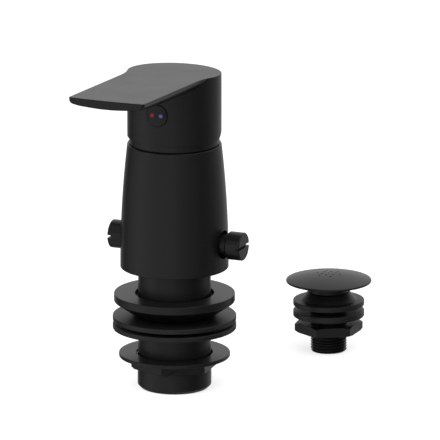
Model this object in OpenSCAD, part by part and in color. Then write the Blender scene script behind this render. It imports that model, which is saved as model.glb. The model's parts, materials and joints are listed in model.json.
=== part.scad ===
// Bidet mixer: a single-lever valve body on a hollow clamping stud, with the rising
// spray rose that it feeds standing beside it.
// Millimetres, +Z up. Z = 0 is the surface that the stud and the rose stand on, the
// stud's axis is the Z axis, the lever points to -Y, and the service stops lie along X.

/* [Clamping stud] */
// Radius of the plain skirt at the foot
skirt_r = 17; // [16.8:0.1:18]
// Height of the skirt
skirt_h = 9.6; // [6:0.1:16]
// 45 degree chamfer round the foot
skirt_chamfer = 1.6; // [0.4:0.1:2.4]
// Hexagonal collar, across flats
collar_af = 35.5; // [34.4:0.1:40]
// Height of the hexagonal collar
collar_h = 5.2; // [3:0.1:9]
// How far the hexagon's corners are turned from the Y axis, degrees
collar_turn = 4.6; // [0:0.1:30]
// Outer radius of the threaded tube
tube_r = 16.75; // [16.2:0.05:16.8]
// Radius of the passage that the hoses come up through
passage_r = 13; // [11:0.1:13.3]
// Bare tube between the deck flange and the mixer body
tube_free = 12.45; // [4:0.05:30]

/* [Clamping washers and deck flange] */
// Radius of the metal washer
washer_r = 25.6; // [22:0.05:28]
// Thickness of the metal washer
washer_h = 1.7; // [1:0.1:3]
// Radius of the hole in the metal washer
washer_hole_r = 17.6; // [17.2:0.1:18.4]
// Bare tube between the metal washer and the lower rubber washer
washer_gap = 11.55; // [0.5:0.05:20]
// Radius of the two rubber washers
rubber_r = 28.5; // [24:0.1:32]
// Thickness of each rubber washer
rubber_h = 2.35; // [1.5:0.05:4]
// Bare tube between the two rubber washers
rubber_gap = 1.55; // [0.3:0.05:6]
// Radius of the deck flange
flange_r = 27.9; // [24:0.1:32]
// Height of the deck flange's rim
flange_rim_h = 3.6; // [2:0.1:6]
// Height of the cone that centres the flange in the deck hole
flange_cone_h = 6.85; // [4:0.05:10]
// Radius of the small end of that cone
flange_nose_r = 18; // [17.6:0.1:20]
// Radius of the flange's hole, from below
flange_hole_r = 17; // [16.9:0.05:17.3]
// Radius of the flange's hole, seen from above
flange_mouth_r = 18.2; // [17.4:0.1:20]

/* [Mixer body] */
// Radius at the foot of the body
body_foot_r = 24.95; // [23.5:0.05:27]
// Radius at the top of the body
body_top_r = 21.7; // [20.9:0.1:23.4]
// Height of the body
body_h = 58.6; // [56:0.1:80]
// Straight band at the foot, below the long taper
body_band_h = 1.95; // [0.5:0.05:10]
// Depth of the threaded socket that takes the stud
socket_h = 6.7; // [4:0.1:7]
// Radius of the hose boss inside the stud
boss_r = 13.2; // [12.4:0.1:13.3]
// How far the hose boss reaches below the body
boss_drop = 7.2; // [2:0.1:12]
// Radius of a hose port
port_r = 4.5; // [3.5:0.1:4.7]
// Depth of a hose port
port_h = 10; // [6:0.5:12]
// Distance of the hose ports from the axis
port_pitch_r = 7.2; // [7:0.1:8]

/* [Service stops] */
// Height of the two stops above the foot of the body
stop_rise = 12.6; // [12:0.1:16]
// Radius of a stop's head
stop_head_r = 6.55; // [5.8:0.05:7.5]
// Length of a stop's head
stop_head_l = 6.8; // [4:0.1:9]
// Width of the screwdriver slot
stop_slot_w = 1.3; // [0.8:0.1:2]
// Depth of the screwdriver slot
stop_slot_h = 1.8; // [0.8:0.1:2.5]
// Radius of a stop's shank
stop_shank_r = 5; // [4.6:0.1:5.4]
// Travel of a stop from closed to open
stop_travel = 3.6; // [2:0.1:4]
// Distance from the axis to the valve seats
seat_x = 10.3; // [10:0.1:12]
// Radius of the hole in a valve seat
seat_r = 3.2; // [2:0.1:3.6]

/* [Cartridge] */
// Radius of the cartridge housing
housing_r = 17.4; // [16.8:0.1:17.6]
// Radius of the housing's neck
neck_r = 12; // [11.7:0.1:12.4]
// Height of the fixed base below the discs
base_h = 5; // [4:0.1:6]
// Height of the fixed ceramic disc
fixed_disc_h = 3.95; // [3:0.05:5]
// Height of the moving ceramic disc
moving_disc_h = 3.5; // [2.5:0.1:4.5]
// Height of the plate that carries the moving disc
carrier_h = 5.5; // [3:0.1:7]
// Height of the rotor's flange
rotor_flange_h = 2.4; // [1.5:0.1:4]
// Radius of the rotor inside the neck
rotor_r = 10.6; // [9.8:0.1:10.8]
// Radius of the screwed ring that holds the cartridge down
nut_r = 19.2; // [18.4:0.1:19.4]
// Height of that ring
nut_h = 5.8; // [4:0.1:6]
// Radius of the cover ring
cover_r = 20.8; // [20.3:0.1:21.5]
// Height of the cover ring
cover_h = 3.3; // [2.6:0.1:5]

/* [Lever] */
// Radius of the handle's drum
drum_r = 21.7; // [20.9:0.1:23]
// Height of the drum on its axis, from the cover ring to the top face
drum_h = 30.6; // [29:0.1:36]
// Distance from the axis to the lever's tip
lever_l = 83.9; // [60:0.1:110]
// Width of the blade
blade_w = 37.3; // [24:0.1:38]
// Thickness of the blade at its tip
tip_t = 4.1; // [3.6:0.1:6]
// Thickness of the blade where it leaves the drum
root_t = 8; // [6:0.1:12]
// Rise of the top face towards the tip, degrees
top_slope = 4; // [0:0.01:8]
// Radius of the sweep from the drum into the blade
sweep_r = 48; // [20:1:70]
// Radius of the tip's outline in plan
tip_r = 150; // [80:5:400]
// Radius of the tip's corners in plan
tip_corner_r = 1.8; // [1:0.1:4]
// Height of the upright long edges
edge_h = 2.5; // [1.5:0.1:2.7]
// Radius of the deep hull that rises from the belly to the long edges
hull_r = 30; // [24:1:40]
// Radius of the shallow belly across the blade
belly_r = 127; // [100:1:200]
// Wall of the drum
drum_wall = 3.4; // [2.6:0.1:4]
// Lift of the lever from closed to fully open, degrees
lift_angle = 22; // [15:1:22]
// Height of the lever's pivot above the cover ring
pivot_rise = 9; // [8.5:0.1:9.4]
// Length of the arm that moves the disc, from the pivot to its ball
arm_l = 14; // [12:0.1:15]
// Width of the square stem
stem_w = 7.8; // [7:0.1:8]
// Length of the stem above the pivot
stem_l = 17.5; // [14:0.1:18]
// Height of the index button above the cover ring
button_rise = 14.7; // [14.4:0.1:18]
// Radius of the index button
button_r = 5.15; // [4:0.05:6]
// How far the index button stands proud of the drum
button_proud = 0.45; // [0.2:0.05:1]
// Radius of each index dot
dot_r = 0.9; // [0.5:0.05:1.4]
// Distance between the two index dots
dot_pitch = 4.3; // [3:0.1:5]

/* [Spray rose] */
// Distance of the rose from the mixer, along X
rose_x = 42.4; // [30:0.1:80]
// Distance of the rose from the mixer, along Y
rose_y = 85.6; // [60:0.1:140]
// Radius of the threaded tail
tail_r = 8.35; // [8:0.05:8.6]
// Radius of the waterway through the tail
tail_bore_r = 5.6; // [4:0.1:6.2]
// Height of the tail below its nut
tail_free = 9.4; // [6:0.1:20]
// Height of the rose's nut
rose_nut_h = 4.5; // [3:0.1:8]
// Width of the rose's nut across flats
rose_nut_af = 27.7; // [24:0.1:32]
// Radius of the rose's two rubber seals
seal_r = 16.5; // [13.4:0.1:18]
// Height of the flat seal
flat_seal_h = 2.8; // [1.5:0.1:4]
// Height of the disc of the cone seal
cone_seal_h = 2.5; // [1.5:0.1:4]
// Height of the cone of the cone seal
cone_rise = 3.8; // [2:0.1:5]
// Radius of the spray cap
cap_r = 19.8; // [18.4:0.1:22]
// Height of the cap's rim
cap_rim_h = 0.9; // [0.6:0.1:2]
// Height of the cap's dome above the rim
cap_dome_h = 3; // [1.5:0.1:4]
// Radius of each jet hole
jet_r = 0.5; // [0.3:0.05:0.7]
// Radius of the inner ring of six jet holes
jet_inner_r = 3.2; // [2.4:0.1:3.6]
// Radius of the outer ring of six jet holes
jet_outer_r = 5.5; // [5:0.1:8]

/* [Fits] */
// Gap between pieces that slide or turn on each other
run = 0.05; // [0.02:0.01:0.1]
// Gap between pieces that are screwed or pushed together
seat = 0.1; // [0.05:0.01:0.15]
// Gap between pieces that move past each other
pass = 0.3; // [0.25:0.01:0.4]

/* [Hidden] */

$fn = 96;
arc_fn = 720;
eps = 0.01;
far = 300;

satin_black = "#2b2b2c";
rubber_black = "#232324";
seal_black = "#1b1b1c";
brass = "#b08d4f";
steel = "#a9abad";
acetal = "#d9d7cf";
ceramic = "#efeee9";
red = "#9a181a";
blue = "#6a5fa8";

// Heights up the stud
collar_z = skirt_h;
washer_z = collar_z + collar_h;
lower_rubber_z = washer_z + washer_h + washer_gap;
upper_rubber_z = lower_rubber_z + rubber_h + rubber_gap;
flange_z = upper_rubber_z + rubber_h;
flange_rim_z = flange_z + flange_cone_h;
flange_top_z = flange_rim_z + flange_rim_h;
body_z = flange_top_z + tube_free;
body_top_z = body_z + body_h;
cover_top_z = body_top_z + cover_h;

// Stud and socket
stud_seal_h = 1.5;
socket_z = body_z + socket_h;
tube_top_z = socket_z - stud_seal_h;
boss_z = body_z - boss_drop;
boss_room = 2;
counterbore_z = boss_z - boss_room;
counterbore_r = boss_r + 0.4;
flange_mouth_h = 2.6;

// Long taper of the body, one arc that starts upright above the band
taper_h = body_h - body_band_h;
taper_in = body_foot_r - body_top_r;
taper_r = (taper_h * taper_h + taper_in * taper_in) / (2 * taper_in);
function body_r_at(z) = body_foot_r - taper_r
    + sqrt(pow(taper_r, 2) - pow(max(0, z - body_z - body_band_h), 2));

// Cartridge, worked out downwards from the shoulder that the nut presses on
nut_drop = 3.3;
shoulder_z = body_top_z - nut_drop;
roof_h = 1.5;
rotor_top_gap = pass;
rotor_z = shoulder_z - roof_h - rotor_top_gap - rotor_flange_h;
carrier_top_z = rotor_z - pass;
carrier_z = carrier_top_z - carrier_h;
moving_disc_z = carrier_z - moving_disc_h;
fixed_disc_z = moving_disc_z - run - fixed_disc_h;
base_z = fixed_disc_z - base_h;
seal_proud = 0.5;
floor_z = base_z - seal_proud;
base_flange_h = 3;
base_flange_r = housing_r - 0.2;
base_body_r = housing_r - 2.9;
cavity_r = base_body_r + 0.2;
carrier_r = 11.6;
moving_disc_r = 10.8;
disc_port_r = 2.7;
disc_port_pitch_r = 8.2;
seal_in_r = disc_port_r + 0.2;
seal_out_r = seal_in_r + 1.1;
seal_h = 1.7;
peg_r = 1.4;
peg_h = 1.8;
peg_pitch_r = 12.6;
mixing_r = 6.4;
mixing_h = 1.8;
body_bore_r = housing_r + 0.2;
nut_mouth_r = nut_r + seat;
nut_mouth_z = shoulder_z - 2.5;
nut_top_z = shoulder_z + nut_h;
nut_hex_r = neck_r + 3.4;
nut_hex_h = 3.6;
cover_bore_r = nut_r + 0.15;
seam_h = 0.4;
seam_in = 0.5;

// Pivot, stem and arm
pivot_z = cover_top_z + pivot_rise;
lean = lift_angle / 2;
neck_top_z = pivot_z + 2.8;
rotor_top_z = neck_top_z - pass;
pin_r = 1.5;
pin_l = 2 * rotor_r - 1;
ball_r = 2.9;
arm_r = 2.2;
ball_y = arm_l * sin(lean);
ball_z = pivot_z - arm_l * cos(lean);
slot_half = stem_w / 2 + seat;
pocket_half = ball_r + seat;
pocket_z = pivot_z - arm_l - ball_r - pass;
post_half_y = pocket_half + 1.6;
post_top_z = ball_z + 2.6;
guide_half_y = ball_y + post_half_y + 0.4;
rotor_slot_z = rotor_z + rotor_flange_h + 1.6;
stem_foot = 4;

// Handle
drum_z = cover_top_z + pass;
top_z = cover_top_z + drum_h;
tip_top_z = top_z + lever_l * tan(top_slope);
drum_bore_r = drum_r - drum_wall;
ceiling_z = neck_top_z + pass + 0.1;
relief_y = (pivot_rise - pass) * tan(lean);
neck_clear = ceiling_z - pivot_z;
ceiling_relief_y = -neck_clear * tan(lean);
under_slope = atan(tan(top_slope) + (root_t - tip_t) / (lever_l - drum_r));
sweep_bite = 0.05;
sweep_x = blade_w / 2 + sweep_r;
sweep_y = sqrt(pow(drum_r - sweep_bite + sweep_r, 2) - pow(sweep_x, 2));
edge_steps = 6;
hull_t = edge_h + hull_r - sqrt(pow(hull_r, 2) - pow(blade_w / 2, 2));
sweep_steps = 8;
tip_steps = 6;
screw_r = 2.5;
screw_l = 8;
screw_key_r = 1.45;
screw_key_h = 2.5;
button_z = cover_top_z + button_rise;
button_seat_y = drum_r - 2.1;
button_gap = 0.2;
dot_h = 1.2;

// Service stops, written for the +X side
stop_z = body_z + stop_rise;
spot_depth = 4.4;
spot_x = body_r_at(stop_z) - spot_depth;
spot_r = stop_head_r + seat;
head_x = body_r_at(stop_z) - 0.7;
head_chamfer = 0.4;
stop_washer_h = 1.5;
jumper_h = 1.55;
jumper_r = stop_shank_r - 0.6;
jumper_stem_r = 2;
jumper_stem_l = 5;
jumper_x = seat_x + run + stop_washer_h;
shank_x = jumper_x + jumper_h + pass;
groove_x = shank_x + 2.4;
groove_w = 1.7;
ring_section_r = 0.74;
ring_mid_r = stop_shank_r - ring_section_r;
groove_r = ring_mid_r - ring_section_r - 0.02;
feed_r = 2.8;
exit_r = 1.9;
exit_x = seat_x + 1.9;

// Rose
rose_nut_z = tail_free;
flat_seal_z = rose_nut_z + rose_nut_h + 2.9;
cone_seal_z = flat_seal_z + flat_seal_h + 2.4;
cone_z = cone_seal_z + cone_seal_h;
cone_top_z = cone_z + cone_rise;
cone_foot_r = 12.9;
cone_top_r = 9.7;
tail_top_z = cone_top_z - 2.3;
throat_r = 7.4;
throat_z = cone_top_z + 0.2;
dish_z = throat_z + 2.5;
dish_r = 9.2;
cap_z = dish_z + 2;
cap_wall = 1.6;
cap_bore_r = cap_r - cap_wall;
dish_rim_r = cap_bore_r - seat;
cap_top_z = cap_z + cap_rim_h + cap_dome_h;
dome_r = (cap_r * cap_r + cap_dome_h * cap_dome_h) / (2 * cap_dome_h);
dome_t = 0.9;
dish_rim_z = cap_top_z - dome_r + sqrt(pow(dome_r - dome_t, 2) - pow(dish_rim_r, 2)) - seat;
dish_floor_z = dish_z + 0.6;
tail_chamfer = 0.5;
tail_groove_h = 0.9;
tail_groove_z = rose_nut_z - 0.3;
tail_groove_in = 0.45;
nut_chamfer = 1.1;

// Points of an arc about c, from angle a0 to a1 in n steps
function arc(c, r, a0, a1, n) =
    [for (i = [0:n]) let (a = a0 + (a1 - a0) * i / n) c + r * [cos(a), sin(a)]];

// A list of points followed by its own mirror image in the Y axis
function both_sides(p) = concat(p, [for (i = [len(p) - 1:-1:0]) [-p[i].x, p[i].y]]);

// Plan of the blade from the drum to the tip, right half first
function blade_plan() =
    let (a_drum = 180 - atan2(sweep_y, sweep_x),
         corner_x = blade_w / 2 - tip_corner_r,
         tip_c = [0, tip_r - lever_l],
         corner_y = tip_c.y - sqrt(pow(tip_r - tip_corner_r, 2) - pow(corner_x, 2)),
         a_tip = atan2(corner_y - tip_c.y, corner_x))
    both_sides(concat(
        arc([sweep_x, -sweep_y], sweep_r, a_drum, 180, sweep_steps),
        arc([corner_x, corner_y], tip_corner_r, 0, a_tip, edge_steps),
        arc(tip_c, tip_r, a_tip, -90, tip_steps)));

module rod(r, l) { cylinder(r = r, h = l); }

module along_x() { rotate([0, 90, 0]) children(); }

module ring(r_out, r_in, h) {
    difference() {
        cylinder(r = r_out, h = h);
        translate([0, 0, -eps]) cylinder(r = r_in, h = h + 2 * eps);
    }
}

module hexagon(across_flats, h) {
    cylinder(r = across_flats / sqrt(3), h = h, $fn = 6);
}

// A block that fills the space under a plane, hinged on the X direction
module under_plane(y, z, angle) {
    translate([0, y, z]) rotate([angle, 0, 0]) translate([-far / 2, 0, -far / 2])
        cube([far, far, far / 2]);
}

module clamp_stud() {
    color(satin_black)
    difference() {
        union() {
            cylinder(r1 = skirt_r - skirt_chamfer, r2 = skirt_r, h = skirt_chamfer);
            translate([0, 0, skirt_chamfer]) cylinder(r = skirt_r, h = skirt_h - skirt_chamfer);
            translate([0, 0, collar_z]) rotate(90 - collar_turn) hexagon(collar_af, collar_h);
            translate([0, 0, washer_z]) cylinder(r = tube_r, h = tube_top_z - washer_z);
        }
        translate([0, 0, -eps]) cylinder(r = passage_r, h = tube_top_z + 2 * eps);
        translate([0, 0, counterbore_z]) cylinder(r = counterbore_r, h = tube_top_z);
    }
}

module stud_seal() {
    color(seal_black)
    translate([0, 0, tube_top_z]) ring(tube_r, boss_r + seat, stud_seal_h);
}

module metal_washer() {
    color(satin_black) translate([0, 0, washer_z]) ring(washer_r, washer_hole_r, washer_h);
}

module rubber_washer(z) {
    color(rubber_black) translate([0, 0, z]) ring(rubber_r, tube_r + seat, rubber_h);
}

module lower_rubber_washer() { rubber_washer(lower_rubber_z); }

module upper_rubber_washer() { rubber_washer(upper_rubber_z); }

module deck_flange() {
    color(satin_black)
    translate([0, 0, flange_z])
    difference() {
        union() {
            cylinder(r1 = flange_nose_r, r2 = flange_r, h = flange_cone_h);
            translate([0, 0, flange_cone_h]) cylinder(r = flange_r, h = flange_rim_h);
        }
        translate([0, 0, -eps]) cylinder(r = flange_hole_r, h = far);
        translate([0, 0, flange_cone_h + flange_rim_h - flange_mouth_h])
            cylinder(r = flange_mouth_r, h = far);
    }
}

// Outside of the body: a straight band, then one long arc up to a sharp ledge
module body_outside() {
    rotate_extrude() {
        translate([0, body_z]) square([body_foot_r, body_band_h]);
        intersection() {
            translate([0, body_z + body_band_h]) square([body_foot_r + 1, taper_h]);
            translate([body_foot_r - taper_r, body_z + body_band_h])
                circle(r = taper_r, $fn = arc_fn);
        }
    }
}

// Waterways of one service stop: seat, chamber, spot face, feed and slanted outlet
module stop_passages() {
    rise = floor_z - stop_z;
    run_in = exit_x - disc_port_pitch_r;
    translate([0, 0, stop_z]) along_x() {
        translate([0, 0, port_pitch_r - feed_r]) rod(seat_r, seat_x);
        translate([0, 0, seat_x]) rod(stop_shank_r + run, far);
        translate([0, 0, spot_x]) rod(spot_r, far);
    }
    translate([port_pitch_r, 0, boss_z + port_h - eps]) rod(feed_r, stop_z - boss_z - port_h);
    translate([exit_x, 0, stop_z]) rotate([0, -atan2(run_in, rise), 0])
        rod(exit_r, norm([run_in, rise]) + 1);
}

module mixer_body() {
    color(satin_black)
    difference() {
        union() {
            body_outside();
            translate([0, 0, boss_z]) rod(boss_r, body_z - boss_z + 1);
        }
        translate([0, 0, body_z - 1]) ring(tube_r + seat, boss_r, socket_h + 1);
        translate([0, 0, floor_z]) rod(body_bore_r, far);
        translate([0, 0, nut_mouth_z]) rod(nut_mouth_r, far);
        for (a = [0, 90, 180]) rotate(a) translate([port_pitch_r, 0, boss_z - eps])
            rod(port_r, port_h);
        translate([0, disc_port_pitch_r, boss_z]) rod(disc_port_r, floor_z - boss_z + 1);
        stop_passages();
        mirror([1, 0, 0]) stop_passages();
        for (a = [-60, -120]) rotate(a)
            translate([peg_pitch_r, 0, floor_z - peg_h + seal_proud - pass])
            rod(peg_r + seat, peg_h);
    }
}

module cover_ring() {
    color(satin_black)
    difference() {
        union() {
            translate([0, 0, body_top_z]) rod(cover_r - seam_in, seam_h + eps);
            translate([0, 0, body_top_z + seam_h]) rod(cover_r, cover_h - seam_h);
        }
        rod(cover_bore_r, far);
    }
}

module cartridge_nut() {
    color(brass)
    translate([0, 0, shoulder_z])
    difference() {
        rod(nut_r, nut_h);
        translate([0, 0, -eps]) rod(neck_r + pass, far);
        translate([0, 0, nut_h - nut_hex_h]) cylinder(r = nut_hex_r, h = far, $fn = 6);
    }
}

module cartridge_housing() {
    housing_z = base_z + base_flange_h;
    color(acetal)
    difference() {
        union() {
            translate([0, 0, housing_z]) rod(housing_r, shoulder_z - housing_z);
            translate([0, 0, housing_z]) rod(neck_r, neck_top_z - housing_z);
        }
        translate([0, 0, housing_z - eps]) rod(cavity_r, shoulder_z - roof_h - housing_z + eps);
        rod(rotor_r + run, far);
    }
}

// The three waterways through the base and the fixed disc: cold, outlet and hot
module disc_ports() {
    for (a = [0, 90, 180]) rotate(a) translate([disc_port_pitch_r, 0, 0]) children();
}

module cartridge_base() {
    color(acetal)
    difference() {
        union() {
            translate([0, 0, base_z]) rod(base_flange_r, base_flange_h);
            translate([0, 0, base_z]) rod(base_body_r, base_h);
            for (a = [-60, -120]) rotate(a) translate([peg_pitch_r, 0, base_z - peg_h])
                rod(peg_r, peg_h + 1);
        }
        disc_ports() rod(disc_port_r, far);
        disc_ports() translate([0, 0, base_z - 1]) rod(seal_out_r + run, 1 + seal_h - seal_proud);
    }
}

module port_seals() {
    color(seal_black)
    disc_ports() translate([0, 0, floor_z]) ring(seal_out_r, seal_in_r, seal_h);
}

module fixed_disc() {
    color(ceramic)
    difference() {
        translate([0, 0, fixed_disc_z]) rod(base_body_r, fixed_disc_h);
        disc_ports() rod(disc_port_r, far);
    }
}

module rotor() {
    color(acetal)
    difference() {
        union() {
            translate([0, 0, rotor_z]) rod(base_body_r, rotor_flange_h);
            translate([0, 0, rotor_z]) rod(rotor_r, rotor_top_z - rotor_z);
        }
        translate([-slot_half, -guide_half_y, rotor_z - 1])
            cube([2 * slot_half, 2 * guide_half_y, rotor_top_z]);
        translate([-slot_half, -far / 2, rotor_slot_z]) cube([2 * slot_half, far, far]);
        translate([-far / 2, 0, pivot_z]) along_x() rod(pin_r, far);
    }
}

module pivot_pin() {
    color(steel) translate([-pin_l / 2, 0, pivot_z]) along_x() rod(pin_r, pin_l);
}

module disc_carrier() {
    color(acetal)
    translate([0, ball_y, 0])
    difference() {
        union() {
            translate([0, 0, carrier_z]) rod(carrier_r, carrier_h);
            translate([-stem_w / 2, -post_half_y, carrier_z + 1])
                cube([stem_w, 2 * post_half_y, post_top_z - carrier_z - 1]);
        }
        translate([-pocket_half, -pocket_half, pocket_z])
            cube([2 * pocket_half, 2 * pocket_half, far]);
    }
}

module moving_disc() {
    color(ceramic)
    translate([0, ball_y, moving_disc_z])
    difference() {
        rod(moving_disc_r, moving_disc_h);
        translate([0, 0, -eps]) rod(mixing_r, mixing_h);
    }
}

// Frame of the stem: its origin on the pivot, its Z axis up the leaning stem
module on_stem() { translate([0, 0, pivot_z]) rotate([lean, 0, 0]) children(); }

module lever_stem() {
    color(steel)
    on_stem()
    difference() {
        union() {
            translate([-stem_w / 2, -stem_w / 2, -stem_foot])
                cube([stem_w, stem_w, stem_foot + stem_l]);
            translate([0, 0, -arm_l]) rod(arm_r, arm_l);
            translate([0, 0, -arm_l]) sphere(r = ball_r);
        }
        translate([-far / 2, 0, 0]) along_x() rod(pin_r + run, far);
    }
}

module drum() {
    intersection() {
        translate([0, 0, drum_z]) rod(drum_r, 2 * drum_h);
        under_plane(-far / 2, top_z + far / 2 * tan(top_slope), -top_slope);
    }
}

// A round hull along the blade, of the given thickness at the tip, that descends to the drum
module blade_hull(r, thickness, slope) {
    translate([0, -lever_l, tip_top_z]) rotate([-slope, 0, 0]) rotate([90, 0, 180])
        translate([0, r - thickness, -1]) cylinder(r = r, h = lever_l, $fn = arc_fn);
}

// The blade: its plan raised to a block, then cut by the top face, the belly and the deep hull
module blade() {
    intersection() {
        translate([0, 0, drum_z]) linear_extrude(2 * drum_h) polygon(blade_plan());
        under_plane(-far / 2, top_z + far / 2 * tan(top_slope), -top_slope);
        blade_hull(belly_r, tip_t, under_slope);
        blade_hull(hull_r, hull_t, top_slope);
    }
}

module handle() {
    color(satin_black)
    difference() {
        union() {
            drum();
            blade();
        }
        translate([0, 0, drum_z - 1]) rod(drum_bore_r, ceiling_z - drum_z + 1);
        intersection() {
            translate([0, 0, drum_z]) rod(drum_bore_r, drum_h);
            under_plane(ceiling_relief_y, ceiling_z, lift_angle);
        }
        under_plane(relief_y, drum_z, lift_angle);
        on_stem() translate([-stem_w / 2 - run, -stem_w / 2 - run, 0])
            cube([stem_w + 2 * run, stem_w + 2 * run, stem_l + pass]);
        translate([0, -button_seat_y, button_z]) rotate([90, 0, 0])
            rod(button_r + button_gap, drum_r);
        translate([0, 0, button_z]) rotate([90, 0, 0]) rod(screw_r + run, drum_r);
    }
}

module set_screw() {
    stem_face_y = (button_z - pivot_z) * tan(lean) + stem_w / 2 / cos(lean);
    color(steel)
    translate([0, -stem_face_y - 2 * pass, button_z]) rotate([90, 0, 0])
    difference() {
        rod(screw_r, screw_l);
        translate([0, 0, screw_l - screw_key_h]) cylinder(r = screw_key_r, h = far, $fn = 6);
    }
}

// What lies in front of the drum's axis within a given radius
module in_front(r) {
    intersection() {
        translate([0, 0, drum_z]) rod(r, drum_h);
        children();
    }
}

module index_button() {
    color(satin_black)
    difference() {
        in_front(drum_r + button_proud)
            translate([0, -button_seat_y - run, button_z]) rotate([90, 0, 0]) rod(button_r, drum_r);
        for (x = [-dot_pitch / 2, dot_pitch / 2])
            translate([x, -drum_r - button_proud + dot_h, button_z]) rotate([90, 0, 0])
                rod(dot_r + run, drum_r);
    }
}

module index_dot(x) {
    in_front(drum_r + button_proud)
        translate([x, -drum_r - button_proud + dot_h - run, button_z]) rotate([90, 0, 0])
            rod(dot_r, drum_r);
}

module hot_dot() { color(red) index_dot(-dot_pitch / 2); }

module cold_dot() { color(blue) index_dot(dot_pitch / 2); }

// Frame of a stop that is opened by the given travel, on the +X or the -X side
module at_stop(side, opened) {
    mirror([side < 0 ? 1 : 0, 0, 0]) translate([opened, 0, stop_z]) along_x() children();
}

module stop_spindle(side, opened) {
    color(satin_black)
    at_stop(side, opened)
    difference() {
        union() {
            translate([0, 0, shank_x]) rod(stop_shank_r, head_x - shank_x + 1);
            translate([0, 0, head_x]) cylinder(r1 = stop_head_r - head_chamfer, r2 = stop_head_r,
                h = head_chamfer);
            translate([0, 0, head_x + head_chamfer])
                rod(stop_head_r, stop_head_l - 2 * head_chamfer);
            translate([0, 0, head_x + stop_head_l - head_chamfer])
                cylinder(r1 = stop_head_r, r2 = stop_head_r - head_chamfer, h = head_chamfer);
        }
        translate([0, 0, groove_x]) ring(far / 4, groove_r, groove_w);
        translate([0, 0, shank_x - 1])
            rod(jumper_stem_r + run, 1 + jumper_stem_l - pass + seat);
        translate([-stop_slot_w / 2, -far / 2, head_x + stop_head_l - stop_slot_h])
            cube([stop_slot_w, far, far]);
    }
}

module stop_o_ring(side, opened) {
    color(seal_black)
    at_stop(side, opened) translate([0, 0, groove_x + groove_w / 2])
        rotate_extrude() translate([ring_mid_r, 0]) circle(r = ring_section_r, $fn = 32);
}

module stop_jumper(side, opened) {
    color(brass)
    at_stop(side, opened) {
        translate([0, 0, jumper_x]) rod(jumper_r, jumper_h);
        translate([0, 0, jumper_x]) rod(jumper_stem_r, jumper_h + jumper_stem_l);
    }
}

module stop_washer(side, opened) {
    color(seal_black)
    at_stop(side, opened) translate([0, 0, jumper_x - stop_washer_h]) rod(jumper_r, stop_washer_h);
}

module hot_spindle() { stop_spindle(-1, 0); }

module hot_o_ring() { stop_o_ring(-1, 0); }

module hot_jumper() { stop_jumper(-1, 0); }

module hot_washer() { stop_washer(-1, 0); }

module cold_spindle() { stop_spindle(1, stop_travel); }

module cold_o_ring() { stop_o_ring(1, stop_travel); }

module cold_jumper() { stop_jumper(1, stop_travel); }

module cold_washer() { stop_washer(1, stop_travel); }

module at_rose() { translate([rose_x, rose_y, 0]) children(); }

module rose_body() {
    color(satin_black)
    at_rose()
    rotate_extrude()
        polygon([
            [tail_bore_r, 0],
            [tail_r - tail_chamfer, 0],
            [tail_r, tail_chamfer],
            [tail_r, tail_groove_z],
            [tail_r - tail_groove_in, tail_groove_z],
            [tail_r - tail_groove_in, tail_groove_z + tail_groove_h],
            [tail_r, tail_groove_z + tail_groove_h],
            [tail_r, tail_top_z],
            [throat_r, tail_top_z + 0.5],
            [throat_r, throat_z],
            [dish_r, dish_z],
            [dish_rim_r, cap_z],
            [dish_rim_r, dish_rim_z],
            [dish_rim_r - 0.8, dish_rim_z],
            [tail_bore_r, dish_floor_z]]);
}

module rose_cap() {
    color(satin_black)
    at_rose()
    difference() {
        intersection() {
            translate([0, 0, cap_z]) rod(cap_r, cap_top_z);
            translate([0, 0, cap_top_z - dome_r]) sphere(r = dome_r, $fn = 360);
        }
        intersection() {
            translate([0, 0, cap_z - 1]) rod(cap_bore_r, cap_top_z);
            translate([0, 0, cap_top_z - dome_r]) sphere(r = dome_r - dome_t, $fn = 360);
        }
        translate([0, 0, cap_z]) {
            rod(jet_r, far);
            for (i = [0:5]) {
                rotate(30 + 60 * i) translate([jet_inner_r, 0, 0]) rod(jet_r, far);
                rotate(60 * i) translate([jet_outer_r, 0, 0]) rod(jet_r, far);
            }
        }
    }
}

module rose_cone_seal() {
    color(rubber_black)
    at_rose()
    difference() {
        union() {
            translate([0, 0, cone_seal_z]) rod(seal_r, cone_seal_h);
            translate([0, 0, cone_z]) cylinder(r1 = cone_foot_r, r2 = cone_top_r, h = cone_rise);
        }
        rod(tail_r + seat, far);
    }
}

module rose_flat_seal() {
    color(rubber_black)
    at_rose() translate([0, 0, flat_seal_z]) ring(seal_r, tail_r + seat, flat_seal_h);
}

module rose_nut() {
    corner_r = rose_nut_af / sqrt(3);
    color(satin_black)
    at_rose()
    translate([0, 0, rose_nut_z])
    difference() {
        intersection() {
            rotate(30) hexagon(rose_nut_af, rose_nut_h);
            union() {
                rod(corner_r + 1, rose_nut_h - nut_chamfer);
                translate([0, 0, rose_nut_h - nut_chamfer])
                    cylinder(r1 = corner_r + nut_chamfer, r2 = corner_r - nut_chamfer,
                        h = nut_chamfer);
            }
        }
        translate([0, 0, -eps]) rod(tail_r + seat, far);
    }
}

mixer_body();
clamp_stud();
stud_seal();
metal_washer();
lower_rubber_washer();
upper_rubber_washer();
deck_flange();
cover_ring();
cartridge_nut();
cartridge_housing();
cartridge_base();
port_seals();
fixed_disc();
rotor();
pivot_pin();
disc_carrier();
moving_disc();
handle();
lever_stem();
set_screw();
index_button();
hot_dot();
cold_dot();
hot_spindle();
hot_o_ring();
hot_jumper();
hot_washer();
cold_spindle();
cold_o_ring();
cold_jumper();
cold_washer();
rose_body();
rose_cap();
rose_cone_seal();
rose_flat_seal();
rose_nut();
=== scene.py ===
# %% [markdown]
# # Bidet mixer
# A single-lever bidet mixer stands on the hollow stud that clamps it to the bidet, and the
# spray rose that it feeds stands beside it. Nearly all of it is metal in one satin black
# powder coat, so the shape shows only by soft reflections: every edge needs its small radius
# and every surface its faint texture. The CAD model gives each piece its size and place.

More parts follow.
